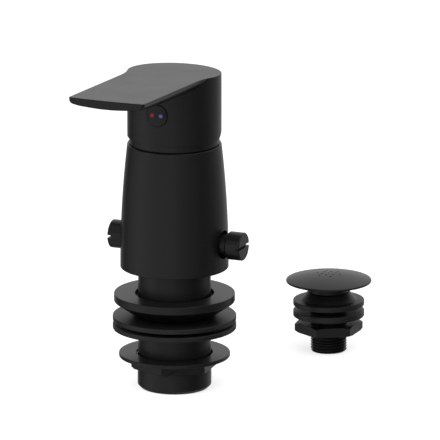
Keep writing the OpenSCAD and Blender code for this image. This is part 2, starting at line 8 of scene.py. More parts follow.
# %% Load the CAD model
import json
import math

import bpy
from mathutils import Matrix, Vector


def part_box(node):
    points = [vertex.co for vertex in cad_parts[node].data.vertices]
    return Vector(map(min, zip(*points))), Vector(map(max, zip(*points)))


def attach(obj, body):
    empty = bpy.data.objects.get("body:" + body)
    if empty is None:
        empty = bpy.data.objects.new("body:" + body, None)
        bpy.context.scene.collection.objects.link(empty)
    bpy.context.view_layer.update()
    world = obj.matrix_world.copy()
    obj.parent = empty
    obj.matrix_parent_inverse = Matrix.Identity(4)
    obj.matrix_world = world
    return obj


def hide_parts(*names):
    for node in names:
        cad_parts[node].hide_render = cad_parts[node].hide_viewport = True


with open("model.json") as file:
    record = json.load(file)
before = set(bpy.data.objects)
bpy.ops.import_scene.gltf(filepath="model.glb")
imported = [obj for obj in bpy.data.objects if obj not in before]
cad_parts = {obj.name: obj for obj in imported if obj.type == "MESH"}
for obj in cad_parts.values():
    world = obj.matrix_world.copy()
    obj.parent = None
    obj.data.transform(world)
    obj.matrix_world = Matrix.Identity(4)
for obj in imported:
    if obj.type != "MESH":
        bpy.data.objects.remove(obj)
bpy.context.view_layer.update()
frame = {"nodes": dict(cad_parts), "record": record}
MM = 0.001

# %% [markdown]
# ## Camera
# The photograph was taken from far away with a long lens, a little above the mixer and a
# little to the right of its lever. Lines that run away from the camera stay parallel in it,
# so a lens of little more than one degree is used, as far back as its frame needs.

# %% Place the camera
VIEW_AZIMUTH = math.radians(22.0)
VIEW_ELEVATION = math.radians(14.8)
FIELD_OF_VIEW = math.radians(1.3)
FRAME_WIDTH = 202.4 * MM
# The middle of the frame, in mm: right of the mixer's axis and at half of its height
AIM_RIGHT, AIM_UP = 20.95, 79.1
ACROSS = Vector((math.cos(VIEW_AZIMUTH), math.sin(VIEW_AZIMUTH), 0))
BACK = Vector((math.sin(VIEW_AZIMUTH) * math.cos(VIEW_ELEVATION),
               -math.cos(VIEW_AZIMUTH) * math.cos(VIEW_ELEVATION), math.sin(VIEW_ELEVATION)))
aim = ACROSS * AIM_RIGHT * MM + Vector((0, 0, AIM_UP * MM))
distance = FRAME_WIDTH / 2 / math.tan(FIELD_OF_VIEW / 2)

camera = bpy.data.objects.new("camera", bpy.data.cameras.new("camera"))
bpy.context.scene.collection.objects.link(camera)
camera.data.angle = FIELD_OF_VIEW
camera.data.clip_start = 0.1
camera.data.clip_end = 50
camera.location = aim + BACK * distance
camera.rotation_euler = BACK.to_track_quat("Z", "Y").to_euler()
bpy.context.scene.camera = camera
bpy.context.scene.view_settings.view_transform = "Standard"
print("camera is", round(distance, 2), "m away")

# %% [markdown]
# ## A way to write materials
# Colours are written as sRGB hex values and turned to linear ones by one function, and one
# function adds a node with its settings and links. A pattern's scale is a real size in
# millimetres, on Object coordinates, which the finished pieces share with the CAD model.

# %% Helpers for materials
def colour(code):
    """Linear colour of an sRGB hex value such as '#1B1B1C'."""
    values = [int(code[i:i + 2], 16) / 255 for i in (1, 3, 5)]
    return [v / 12.92 if v <= 0.04045 else ((v + 0.055) / 1.055) ** 2.4 for v in values] + [1]


def add(tree, kind, inputs=None, **settings):
    """Adds a node, sets its options, and fills its inputs with values or with other sockets."""
    node = tree.nodes.new(kind)
    for option, value in settings.items():
        setattr(node, option, value)
    for socket, value in (inputs or {}).items():
        if isinstance(value, bpy.types.NodeSocket):
            tree.links.new(value, node.inputs[socket])
        else:
            node.inputs[socket].default_value = value
    return node


def new_material(name):
    """An empty node material and its tree."""
    material = bpy.data.materials.new(name)
    material.use_nodes = True
    material.node_tree.nodes.clear()
    return material, material.node_tree


def surface(tree, shader):
    """Joins a shader to the material's output."""
    add(tree, "ShaderNodeOutputMaterial", {"Surface": shader.outputs[0]})


def per_mm(size):
    """Texture scale, in periods per metre, of a pattern whose grains are this many mm."""
    return 1 / (size * MM)


print("sRGB #808080 is", round(colour("#808080")[0], 3), "in linear light")

# %% [markdown]
# ## Satin black powder coat
# Powder sprayed dry on the brass and baked flows into a skin that is smooth to the finger but
# never flat: it keeps a fine orange peel, drawn here 0.9 mm across, coarser than life so that
# it shows. Its gloss is low and broad. Seen straight on it returns hardly any light, and at a
# shallow angle it turns grey, as the lever's top does in the photograph.

# %% Satin black
PEEL_SIZE, CLOUD_SIZE = 0.9, 14  # mm
PEEL_DEPTH = 0.02 * MM
satin_black, tree = new_material("satin_black_powder_coat")
place = add(tree, "ShaderNodeTexCoord").outputs["Object"]
grain = add(tree, "ShaderNodeTexNoise",
            {"Vector": place, "Scale": per_mm(PEEL_SIZE), "Detail": 3.0, "Roughness": 0.55})
cloud = add(tree, "ShaderNodeTexNoise",
            {"Vector": place, "Scale": per_mm(CLOUD_SIZE), "Detail": 2.0, "Roughness": 0.5})
tint = add(tree, "ShaderNodeMix", {"Factor": cloud.outputs["Fac"]}, data_type="RGBA")
# A Mix node has sockets named A and B for numbers, vectors and colours alike
for socket, value in (("A", colour("#111112")), ("B", colour("#141415"))):
    next(s for s in tint.inputs if s.name == socket and s.type == "RGBA").default_value = value
gloss = add(tree, "ShaderNodeMapRange",
            {"Value": cloud.outputs["Fac"], "To Min": 0.27, "To Max": 0.33})
peel = add(tree, "ShaderNodeBump",
           {"Height": grain.outputs["Fac"], "Strength": 0.12, "Distance": PEEL_DEPTH})
coat = add(tree, "ShaderNodeBsdfPrincipled",
           {"Base Color": next(s for s in tint.outputs if s.type == "RGBA"),
            "Roughness": gloss.outputs["Result"], "Normal": peel.outputs["Normal"],
            "IOR": 1.5})
surface(tree, coat)
print("material", satin_black.name)

# %% [markdown]
# ## Moulded rubber
# The clamping washers and the rose's seals are moulded in black rubber. It is duller than the
# coat beside it, with the fine bite of an eroded mould and a trace of grey bloom.

# %% Rubber
BITE_SIZE, BLOOM_SIZE = 0.5, 9  # mm
BITE_DEPTH = 0.03 * MM
rubber, tree = new_material("moulded_rubber")
place = add(tree, "ShaderNodeTexCoord").outputs["Object"]
grain = add(tree, "ShaderNodeTexNoise",
            {"Vector": place, "Scale": per_mm(BITE_SIZE), "Detail": 2.0, "Roughness": 0.6})
bloom = add(tree, "ShaderNodeTexNoise",
            {"Vector": place, "Scale": per_mm(BLOOM_SIZE), "Detail": 3.0, "Roughness": 0.6})
tint = add(tree, "ShaderNodeValToRGB", {"Fac": bloom.outputs["Fac"]})
tint.color_ramp.elements[0].color = colour("#151516")
tint.color_ramp.elements[1].color = colour("#1C1C1D")
bite = add(tree, "ShaderNodeBump",
           {"Height": grain.outputs["Fac"], "Strength": 0.2, "Distance": BITE_DEPTH})
moulding = add(tree, "ShaderNodeBsdfPrincipled",
               {"Base Color": tint.outputs["Color"], "Roughness": 0.36,
                "Normal": bite.outputs["Normal"], "IOR": 1.5})
surface(tree, moulding)
print("material", rubber.name)

# %% [markdown]
# ## What is hidden inside
# The cartridge, the pins and the seals only show where a gap lets the eye in, or when the
# piece is taken apart. Each still gets the finish it has: brass and steel with the fine rings
# that a lathe leaves, acetal with the cloudy look of a moulded part, lapped ceramic, and
# smooth seal rubber.

# %% Finishes of the hidden pieces
GRAIN_DEPTH = 0.02 * MM


def plain_finish(name, first, second, grain_mm, roughness, bump, metallic=0.0):
    """A finish of two close colours in soft clouds, with a fine bump of the same grain."""
    material, tree = new_material(name)
    place = add(tree, "ShaderNodeTexCoord").outputs["Object"]
    grain = add(tree, "ShaderNodeTexNoise",
                {"Vector": place, "Scale": per_mm(grain_mm), "Detail": 3.0})
    tint = add(tree, "ShaderNodeValToRGB", {"Fac": grain.outputs["Fac"]})
    tint.color_ramp.elements[0].color = colour(first)
    tint.color_ramp.elements[1].color = colour(second)
    relief = add(tree, "ShaderNodeBump", {"Height": grain.outputs["Fac"], "Strength": bump,
                                          "Distance": GRAIN_DEPTH})
    shader = add(tree, "ShaderNodeBsdfPrincipled",
                 {"Base Color": tint.outputs["Color"], "Roughness": roughness,
                  "Metallic": metallic, "Normal": relief.outputs["Normal"]})
    surface(tree, shader)
    return material


# Name, two colours, grain in mm, roughness, bump and metallic, by the CAD model's slots
finishes = {
    "satin_black": satin_black,
    "rubber": rubber,
    "seal_rubber": plain_finish("smooth_seal_rubber", "#101011", "#171718", 0.4, 0.4, 0.1),
    "brass": plain_finish("turned_brass", "#A98744", "#C8A766", 0.25, 0.3, 0.2, 1.0),
    "steel": plain_finish("ground_steel", "#9A9C9E", "#B7B9BB", 0.2, 0.3, 0.2, 1.0),
    "acetal": plain_finish("moulded_acetal", "#D6D3CA", "#E3E0D8", 3.0, 0.5, 0.1),
    "ceramic": plain_finish("lapped_ceramic", "#EAE8E2", "#F2F0EB", 0.6, 0.15, 0.05),
    "red_dot": plain_finish("red_enamel", "#981518", "#A31C1E", 0.3, 0.25, 0.1),
    "blue_dot": plain_finish("blue_enamel", "#665BA4", "#6F64AE", 0.3, 0.25, 0.1),
}
for node_name, node in frame["nodes"].items():
    slot = next(s["material_slot"] for s in frame["record"]["subparts"] if s["node"] == node_name)
    for i in range(len(node.material_slots)):
        node.material_slots[i].material = finishes[slot]
print("finishes:", ", ".join(finishes))

# %% [markdown]
# ## A way to model
# Most pieces of a tap are turned on a lathe, so most are made here the same way: a point is
# extruded along the piece's profile, and the line is spun once round the axis. Sharp edges are
# then broken with a small bevel, because no real edge is sharp and a black coat shows only by
# the light on its edges.

# %% Select and place
def only(piece):
    """Selects one object alone and makes it the active one."""
    bpy.ops.object.select_all(action="DESELECT")
    piece.select_set(True)
    bpy.context.view_layer.objects.active = piece


def apply_place(piece):
    """Moves the object's place and turn into its mesh."""
    only(piece)
    bpy.ops.object.transform_apply(location=True, rotation=True, scale=True)


print("profiles are drawn in mm, and", 1 / MM, "mm make a metre")

# %% Draw and turn a profile
# Points of a profile nearer than this are one point
WELD = 0.001 * MM


def line(name, profile, closed):
    """Draws a profile: a point extruded along (radius, height) pairs in mm, in the XZ plane."""
    bpy.ops.object.select_all(action="DESELECT")
    bpy.ops.mesh.primitive_plane_add(size=MM)
    piece = bpy.context.object
    piece.name = name
    bpy.ops.object.mode_set(mode="EDIT")
    bpy.ops.mesh.select_mode(type="VERT")
    bpy.ops.mesh.merge(type="CENTER")
    (r, z), rest = profile[0], profile[1:]
    bpy.ops.transform.translate(value=(r * MM, 0, z * MM))
    for r_next, z_next in rest + ([profile[0]] if closed else []):
        step = ((r_next - r) * MM, 0, (z_next - z) * MM)
        bpy.ops.mesh.extrude_vertices_move(TRANSFORM_OT_translate={"value": step})
        r, z = r_next, z_next
    bpy.ops.mesh.select_all(action="SELECT")
    bpy.ops.mesh.remove_doubles(threshold=WELD)
    bpy.ops.object.mode_set(mode="OBJECT")
    return piece


def turned(name, profile, steps=160):
    """Spins a profile round Z. It is closed unless it starts on the axis."""
    piece = line(name, profile, closed=profile[0][0] > 0)
    bpy.ops.object.mode_set(mode="EDIT")
    bpy.ops.mesh.select_all(action="SELECT")
    bpy.ops.mesh.spin(steps=steps, angle=2 * math.pi, center=(0, 0, 0), axis=(0, 0, 1))
    bpy.ops.mesh.select_all(action="SELECT")
    bpy.ops.mesh.remove_doubles(threshold=WELD)
    bpy.ops.mesh.normals_make_consistent(inside=False)
    bpy.ops.object.mode_set(mode="OBJECT")
    return piece


print("points nearer than", WELD / MM, "mm are welded")

# %% Break edges
# Slivers that a cut left behind would count as sharp edges, so they go first
SLIVER = 0.002 * MM


def break_edges(piece, radius, sharpness=32, segments=3, keep=None):
    """Bevels every edge sharper than an angle, as a polisher's wheel does. keep may be a test
    of an edge's two ends, in mm, that leaves some of them out."""
    only(piece)
    bpy.ops.object.mode_set(mode="EDIT")
    bpy.ops.mesh.select_mode(type="EDGE")
    bpy.ops.mesh.select_all(action="SELECT")
    bpy.ops.mesh.dissolve_degenerate(threshold=SLIVER)
    bpy.ops.mesh.select_all(action="DESELECT")
    bpy.ops.mesh.edges_select_sharp(sharpness=math.radians(sharpness))
    if keep:
        bpy.ops.object.mode_set(mode="OBJECT")
        points = [v.co / MM for v in piece.data.vertices]
        for edge in piece.data.edges:
            edge.select = edge.select and keep(*[points[i] for i in edge.vertices])
        bpy.ops.object.mode_set(mode="EDIT")
    bpy.ops.mesh.bevel(offset=radius * MM, segments=segments, affect="EDGES")
    bpy.ops.object.mode_set(mode="OBJECT")


print("edges shorter than", SLIVER / MM, "mm are dissolved before a bevel")

# %% Cut, join and drill
# A cut can leave two points where it should leave one
CUT_WELD = 0.0005 * MM
# The default threshold of a bisect, 0.1 mm, would leave points that far past the plane
PLANE_HIT = 0.0001 * MM


def combine(piece, tool, operation="DIFFERENCE"):
    """Cuts one piece with another, or joins the two, and removes the tool."""
    only(piece)
    boolean = piece.modifiers.new("Boolean", "BOOLEAN")
    boolean.operation = operation
    boolean.object = tool
    boolean.solver = "EXACT"
    bpy.ops.object.modifier_apply(modifier=boolean.name)
    bpy.data.objects.remove(tool)
    bpy.ops.object.mode_set(mode="EDIT")
    bpy.ops.mesh.select_all(action="SELECT")
    bpy.ops.mesh.remove_doubles(threshold=CUT_WELD)
    bpy.ops.object.mode_set(mode="OBJECT")


def cut_plane(piece, point, normal):
    """Cuts a piece along a plane, keeps the side behind the normal, and closes it."""
    only(piece)
    bpy.ops.object.mode_set(mode="EDIT")
    bpy.ops.mesh.select_all(action="SELECT")
    bpy.ops.mesh.bisect(plane_co=[c * MM for c in point], plane_no=normal, use_fill=True,
                        clear_outer=True, threshold=PLANE_HIT)
    bpy.ops.object.mode_set(mode="OBJECT")


def drill(piece, radius, start, end, sides=64):
    """Cuts a round hole between two points in mm."""
    start, end = Vector(start), Vector(end)
    bpy.ops.object.select_all(action="DESELECT")
    bpy.ops.mesh.primitive_cylinder_add(
        vertices=sides, radius=radius * MM, depth=(end - start).length * MM,
        location=(start + end) / 2 * MM,
        rotation=(end - start).to_track_quat("Z", "Y").to_euler())
    combine(piece, bpy.context.object)


print("points nearer than", CUT_WELD / MM, "mm are welded after a cut")

# %% Finish a piece
# Faces that meet at less than this are shaded as one curve
SMOOTH_ANGLE = math.radians(35)


def finish(piece, material, body, *nodes):
    """Smooths the shading, gives the finish, and lets the piece stand for its CAD nodes."""
    only(piece)
    bpy.ops.object.shade_smooth_by_angle(angle=SMOOTH_ANGLE)
    weighted = piece.modifiers.new("Weighted", "WEIGHTED_NORMAL")
    weighted.keep_sharp = True
    bpy.ops.object.modifier_apply(modifier=weighted.name)
    piece.data.materials.clear()
    piece.data.materials.append(finishes[material])
    corners = [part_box(n) for n in nodes]
    low = Vector([min(v.co[i] for v in piece.data.vertices) for i in range(3)])
    high = Vector([max(v.co[i] for v in piece.data.vertices) for i in range(3)])
    off = max(max(abs(low[i] - min(c[0][i] for c in corners)),
                  abs(high[i] - max(c[1][i] for c in corners))) for i in range(3))
    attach(piece, body)
    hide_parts(*nodes)
    print(f"{piece.name}: {len(piece.data.polygons)} faces, {off / MM:.2f} mm from the CAD box")


print("faces under", round(math.degrees(SMOOTH_ANGLE)), "degrees are shaded smooth")

# %% [markdown]
# ## Mixer body
# The body is a brass casting, turned outside to one long flowing taper. It widens from the
# lever down to a short straight band. Its foot bears on nothing, because the stud screws into
# a socket inside it. From below one sees that socket round a boss with the three hose ports,
# and from above the bore for the cartridge, with a wider mouth for the nut that holds it. All
# of that is one profile, so the body is turned like a lathe piece. Sizes are in mm.

# %% Mixer body
FOOT_Z, TOP_Z, FOOT_R, TOP_R, BAND_H = 57.2, 115.8, 24.95, 21.7, 1.95
BOSS_Z, BOSS_R, SOCKET_Z, SOCKET_R = 50.0, 13.2, 63.9, 16.85
FLOOR_Z, CARTRIDGE_R, MOUTH_Z, MOUTH_R = 89.5, 17.6, 110.0, 19.3
STOP_Z = 69.8
FLANK_STEPS = 24
taper_h = TOP_Z - FOOT_Z - BAND_H
taper_r = (taper_h ** 2 + (FOOT_R - TOP_R) ** 2) / (2 * (FOOT_R - TOP_R))


def taper_at(z):
    """Radius of the body at a height: one arc that starts upright above the band."""
    return FOOT_R - taper_r + math.sqrt(taper_r ** 2 - max(0, z - FOOT_Z - BAND_H) ** 2)


heights = [FOOT_Z + BAND_H + taper_h * i / FLANK_STEPS for i in range(FLANK_STEPS + 1)]
flank = [(taper_at(z), z) for z in heights]
mixer_body = turned("mixer_body_cast", [
    (0, BOSS_Z), (BOSS_R, BOSS_Z), (BOSS_R, SOCKET_Z), (SOCKET_R, SOCKET_Z),
    (SOCKET_R, FOOT_Z), (FOOT_R, FOOT_Z), *flank, (MOUTH_R, TOP_Z), (MOUTH_R, MOUTH_Z),
    (CARTRIDGE_R, MOUTH_Z), (CARTRIDGE_R, FLOOR_Z), (0, FLOOR_Z)], steps=192)
break_edges(mixer_body, radius=0.35)
print("body", round(taper_at(STOP_Z), 2), "mm in radius at the stops")

# %% [markdown]
# Each service stop sits in a flat-bottomed recess in the side, and the waterways run from the
# hose ports past the stops up to the cartridge. They are drilled as in the CAD model.

# %% Holes of the mixer body
# Hose ports: radius, upper end and distance from the axis. Holes under the cartridge: distance
PORT_R, PORT_TOP, PORT_AT, DISC_PORT_AT = 4.5, 60, 7.2, 8.2
# Radii of the feed from a port, of a stop's valve seat and outlet, and of the mixed water's way
FEED_R, SEAT_R, OUTLET_R, MIXED_R = 2.8, 3.2, 1.9, 2.7
SEAT_IN, SEAT_OUT, OUTLET_X = 4.4, 12, 12.2
# The spindle's bore, from the chamber out, and the flat-bottomed recess round its head
SPINDLE_BORE_R, CHAMBER_X, RECESS_R, RECESS_X = 5.05, 10.3, 6.65, taper_at(STOP_Z) - 4.4
OUTSIDE = 40
for side in (-1, 1):
    port, middle = side * PORT_AT, side * DISC_PORT_AT
    drill(mixer_body, PORT_R, (port, 0, BOSS_Z - 1), (port, 0, PORT_TOP))
    drill(mixer_body, FEED_R, (port, 0, PORT_TOP - 1), (port, 0, STOP_Z), sides=32)
    for radius, start, end, sides in ((SEAT_R, SEAT_IN, SEAT_OUT, 32),
                                      (SPINDLE_BORE_R, CHAMBER_X, OUTSIDE, 64),
                                      (RECESS_R, RECESS_X, OUTSIDE, 96)):
        drill(mixer_body, radius, (side * start, 0, STOP_Z), (side * end, 0, STOP_Z), sides)
    drill(mixer_body, OUTLET_R, (side * OUTLET_X, 0, STOP_Z), (middle, 0, FLOOR_Z + 1), sides=32)
drill(mixer_body, PORT_R, (0, PORT_AT, BOSS_Z - 1), (0, PORT_AT, PORT_TOP))
drill(mixer_body, MIXED_R, (0, DISC_PORT_AT, PORT_TOP - 5), (0, DISC_PORT_AT, FLOOR_Z + 1),
      sides=32)
finish(mixer_body, "satin_black", "mixer", "mixer_body")

# %% [markdown]
# ## Clamping stud
# The stud is one hollow turned piece: a plain skirt that stands on the table, a hexagonal
# collar for the spanner, and the long tube that passes up through the deck. The hexagon starts
# as a six-sided cylinder, and its corners are turned off at about 30 degrees as on any nut. It
# is turned a little to the side, as the photograph shows it.

# %% Clamping stud
def hexagon(name, across_flats, low, high, blank):
    """A six-sided bar between two heights in mm, with corners on Y, inside a turned blank."""
    bpy.ops.object.select_all(action="DESELECT")
    bpy.ops.mesh.primitive_cylinder_add(
        vertices=6, radius=across_flats / math.sqrt(3) * MM, depth=(high - low) * MM,
        location=(0, 0, (low + high) / 2 * MM))
    bar = bpy.context.object
    bar.name = name
    apply_place(bar)
    # Half a step's turn puts every corner in the middle of one of the blank's facets
    steps = 144
    chamfered = turned("blank", blank, steps=steps)
    chamfered.rotation_euler = (0, 0, math.pi / steps)
    apply_place(chamfered)
    combine(bar, chamfered, "INTERSECT")
    return bar


COLLAR_FLATS, COLLAR_LOW, COLLAR_HIGH, COLLAR_TURN = 35.5, 9.6, 14.8, math.radians(4.6)
STUD_BORE_R, SKIRT_R, TUBE_R, STUD_TOP = 13, 17, 16.75, 62.4
COUNTERBORE_R, COUNTERBORE_Z = 13.6, 48
# The blank turns off the corners below 10.7 mm and above 14.1 mm
collar = hexagon("collar", COLLAR_FLATS, COLLAR_LOW, COLLAR_HIGH, [
    (0, 9), (19.6, 9), (19.6, 9.9), (21, 10.7), (21, 14.1), (20.1, COLLAR_HIGH),
    (0, COLLAR_HIGH)])
collar.rotation_euler = (0, 0, COLLAR_TURN)
apply_place(collar)
clamp_stud = turned("clamp_stud_turned", [
    (STUD_BORE_R, 0), (15.4, 0), (SKIRT_R, 1.6), (SKIRT_R, COLLAR_LOW), (SKIRT_R, 12),
    (TUBE_R, 12.1), (TUBE_R, STUD_TOP), (COUNTERBORE_R, STUD_TOP),
    (COUNTERBORE_R, COUNTERBORE_Z), (STUD_BORE_R, COUNTERBORE_Z)])
combine(clamp_stud, collar, "UNION")
drill(clamp_stud, STUD_BORE_R, (0, 0, -1), (0, 0, 40), sides=160)
break_edges(clamp_stud, radius=0.2)
finish(clamp_stud, "satin_black", "mixer", "clamp_stud")

# %% [markdown]
# ## Washers and deck flange
# Two thick rubber washers and a metal one slide on the stud. The deck flange above them has a
# cone below its rim that centres it in the deck's hole. All four are rings: the washers are
# turned from a rectangle, and the flange from a profile of its own.

# %% Washers and deck flange
# Inner and outer radius, lower and upper height and edge radius, all in mm
for name, inner, outer, low, high, edge, material, node in (
        ("metal_washer_pressed", 17.6, 25.6, 14.8, 16.5, 0.25, "satin_black", "metal_washer"),
        ("lower_rubber_washer_moulded", 16.85, 28.5, 28.05, 30.4, 0.4, "rubber",
         "lower_rubber_washer"),
        ("upper_rubber_washer_moulded", 16.85, 28.5, 31.95, 34.3, 0.4, "rubber",
         "upper_rubber_washer")):
    ring = turned(name, [(inner, low), (outer, low), (outer, high), (inner, high)])
    break_edges(ring, radius=edge)
    finish(ring, material, "mixer", node)

# The cone starts on the upper rubber washer and ends at the rim
CONE_Z, RIM_Z, FLANGE_TOP, STEP_Z = 34.3, 41.15, 44.75, 42.15
FLANGE_BORE_R, CONE_R, STEP_R, FLANGE_R = 17, 18, 18.2, 27.9
deck_flange = turned("deck_flange_turned", [
    (FLANGE_BORE_R, CONE_Z), (CONE_R, CONE_Z), (FLANGE_R, RIM_Z), (FLANGE_R, FLANGE_TOP),
    (STEP_R, FLANGE_TOP), (STEP_R, STEP_Z), (FLANGE_BORE_R, STEP_Z)], steps=192)
break_edges(deck_flange, radius=0.3, sharpness=25)
finish(deck_flange, "satin_black", "mixer", "deck_flange")

# %% [markdown]
# ## Cover ring
# A plain ring hides the nut that holds the cartridge. A groove at its foot makes the fine dark
# seam above the body. Its top ends 0.1 mm below the drum, which is 0.2 mm higher than in the CAD
# model, so that the gap below the handle doesn't show, as in the photograph.

# %% Cover ring
RING_BORE_R, GROOVE_R, RING_R, GROOVE_Z, RING_TOP = 19.35, 20.3, 20.8, 116.2, 119.3
cover_ring = turned("cover_ring_turned", [
    (RING_BORE_R, TOP_Z), (GROOVE_R, TOP_Z), (GROOVE_R, GROOVE_Z), (RING_R, GROOVE_Z),
    (RING_R, RING_TOP), (RING_BORE_R, RING_TOP)], steps=192)
break_edges(cover_ring, radius=0.15)
finish(cover_ring, "satin_black", "mixer", "cover_ring")

# %% [markdown]
# ## Service stops
# Each stop is a turned spindle with a screwdriver slot across its head. The hot one is screwed
# home and the cold one stands 3.6 mm open, as the CAD model has them. They are turned upright
# and then laid along X. A groove near the inner end holds the O-ring, and the back of the head
# has a wide chamfer that leaves a dark line between the head and its recess.

# %% Service stops
# Length of the head outside HEAD_X, its reach inside it, and its chamfers
HEAD_X, HEAD_L, HEAD_R, SHANK_R = taper_at(STOP_Z) - 0.7, 6.8, 6.55, 5.0
HEAD_BACK, BACK_CHAMFER, FRONT_CHAMFER = HEAD_X - 0.8, 0.7, 0.4
# Hole for the jumper's pin, in the inner end of the shank, and groove for the O-ring
PIN_BORE_R, PIN_END, SHANK_X = 2.05, 18.5, 13.7
GROOVE_FLOOR_R, GROOVE_START, GROOVE_END = 3.5, 16.1, 17.8
SLOT_W, SLOT_L, SLOT_DEPTH = 1.3, 40, 1.8
OPEN = 3.6


def stop_spindle(name, side, opened, node, body):
    """One spindle, turned round Z, slotted and laid along X on its side of the body."""
    top = HEAD_X + HEAD_L
    spindle = turned(name, [
        (0, PIN_END), (PIN_BORE_R, PIN_END), (PIN_BORE_R, SHANK_X), (SHANK_R, SHANK_X),
        (SHANK_R, GROOVE_START), (GROOVE_FLOOR_R, GROOVE_START), (GROOVE_FLOOR_R, GROOVE_END),
        (SHANK_R, GROOVE_END), (SHANK_R, HEAD_BACK), (HEAD_R - BACK_CHAMFER, HEAD_BACK),
        (HEAD_R, HEAD_BACK + BACK_CHAMFER), (HEAD_R, top - FRONT_CHAMFER),
        (HEAD_R - FRONT_CHAMFER, top), (0, top)], steps=96)
    bpy.ops.object.select_all(action="DESELECT")
    bpy.ops.mesh.primitive_cube_add(size=1, location=(0, 0, top * MM),
                                    scale=(SLOT_W * MM, SLOT_L * MM, 2 * SLOT_DEPTH * MM))
    combine(spindle, bpy.context.object)
    break_edges(spindle, radius=0.12, sharpness=40, segments=2)
    spindle.rotation_euler = (0, math.radians(90 * side), 0)
    spindle.location = (side * opened * MM, 0, STOP_Z * MM)
    apply_place(spindle)
    finish(spindle, "satin_black", body, node)


stop_spindle("hot_spindle_turned", -1, 0.0, "hot_spindle", "hot_spindle")
stop_spindle("cold_spindle_turned", 1, OPEN, "cold_spindle", "cold_spindle")

# %% [markdown]
# ## Lever
# The handle is one casting: a drum over the cartridge and a broad flat blade. Seen from above
# the blade flows out of the drum on two large sweeps. Its long edges stay a thin upright band,
# from which a round hull dips to a shallow belly that thins towards the tip. The blade starts
# as a grid whose rows are cross sections: every row is bent to the section that the blade has
# there, and the grid is joined up like a tube. The drum is a cylinder, and one slanted cut
# makes the top face of both.

# %% Numbers of the lever
PIVOT_Z, DRUM_Z, DRUM_R, TOP_AT_AXIS = 128.1, 119.4, 21.7, 149.7
TOP_SLOPE, TIP_Y, HALF_W = math.radians(4.0), -83.9, 18.65
# Thickness at the tip and at the drum, radius of the belly, height of the edge band, radius of
# the hull, and the round that blends the crease between belly and hull
TIP_T, ROOT_T, BELLY_R, EDGE_H, HULL_R, CREASE = 4.1, 8.0, 127.0, 2.5, 30.0, 0.25
# Width and height of the rounded lower corners
CORNER_W, CORNER_H = 3.2, 1.75
# Plan: radius and centre of the sweeps into the drum, and radius of the tip
SWEEP_R, SWEEP_X, SWEEP_Y, TIP_R = 48.0, 66.65, -20.3, 150.0
UNDER_SLOPE = math.atan(math.tan(TOP_SLOPE) + (ROOT_T - TIP_T) / (-TIP_Y - DRUM_R))
TIP_TOP = TOP_AT_AXIS - TIP_Y * math.tan(TOP_SLOPE)
print("the lever's tip is", round(TIP_TOP, 2), "mm up")

# %% Sections of the blade
def half_width(y):
    """Half of the blade's width: straight at first, then out along the sweep to the drum."""
    if y < SWEEP_Y:
        return HALF_W
    return SWEEP_X - math.sqrt(SWEEP_R ** 2 - (y - SWEEP_Y) ** 2)


def hull(x, y, radius, thickness, slope):
    """Height of a round hull that descends from the tip, at a point of the plan."""
    across = radius - thickness - math.sqrt(radius ** 2 - x ** 2)
    return TIP_TOP - (y - TIP_Y) * math.tan(slope) + across / math.cos(slope)


def underside(x, y):
    """Height of the blade's underside: the higher of two hulls, with the crease blended."""
    belly = hull(x, y, BELLY_R, TIP_T, UNDER_SLOPE)
    deep = hull(x, y, HULL_R, EDGE_H + HULL_R - math.sqrt(HULL_R ** 2 - HALF_W ** 2), TOP_SLOPE)
    return (belly + deep + math.hypot(belly - deep, CREASE)) / 2


def corner(x, half):
    """How far the rounded lower corner rises above the underside at a point."""
    inward = max(0.0, abs(x) - half + CORNER_W) / CORNER_W
    return CORNER_H * (1 - math.sqrt(max(0.0, 1 - inward ** 2)))


print("the blade is", round(TIP_TOP - underside(0, TIP_Y), 2), "mm thick at its tip")

# %% Blade
# Rows run from 5 mm before the tip, which a later cut trims, along the straight part and the
# sweep, and end inside the drum
COLUMNS, PAST_TIP, FLARE, IN_DRUM, BLOCK_H = 48, 5, 14.3, 2.5, 25
rows = [TIP_Y - PAST_TIP + (SWEEP_Y - TIP_Y + PAST_TIP) * i / 24 for i in range(24)]
rows += [SWEEP_Y + FLARE * i / 16 for i in range(17)] + [SWEEP_Y + FLARE + IN_DRUM]
bpy.ops.object.select_all(action="DESELECT")
bpy.ops.mesh.primitive_grid_add(x_subdivisions=COLUMNS, y_subdivisions=len(rows) - 1, size=MM)
handle = bpy.context.object
handle.name = "handle_cast"
for i, vertex in enumerate(handle.data.vertices):
    row, column = divmod(i, COLUMNS + 1)
    y = rows[row]
    half = half_width(min(y, rows[-2]))
    # The first, last but one and last columns are the block's two upper corners
    if column in (0, COLUMNS - 1, COLUMNS):
        x, z = (-half if column == COLUMNS - 1 else half), TIP_TOP + BLOCK_H
    else:
        # Cosine spacing gives the rounded corners most of the columns
        x = half * math.cos(math.pi * (column - 1) / (COLUMNS - 3))
        z = underside(x, y) + corner(x, half)
    vertex.co = Vector((x, y, z)) * MM
only(handle)
bpy.ops.object.mode_set(mode="EDIT")
bpy.ops.mesh.select_all(action="SELECT")
bpy.ops.mesh.remove_doubles(threshold=WELD)
bpy.ops.mesh.fill_holes(sides=0)
bpy.ops.mesh.select_all(action="SELECT")
bpy.ops.mesh.normals_make_consistent(inside=False)
bpy.ops.object.mode_set(mode="OBJECT")
print("blade:", len(rows), "sections of", COLUMNS + 1, "points")

# %% [markdown]
# The tip is a shallow arc with tight corners in plan. A block whose edge has that outline cuts
# it. Its corner arcs start a hair outside the blade, so that the cut never runs along a face.

# %% Tip
CORNER_R, HAIR = 1.8, 0.01
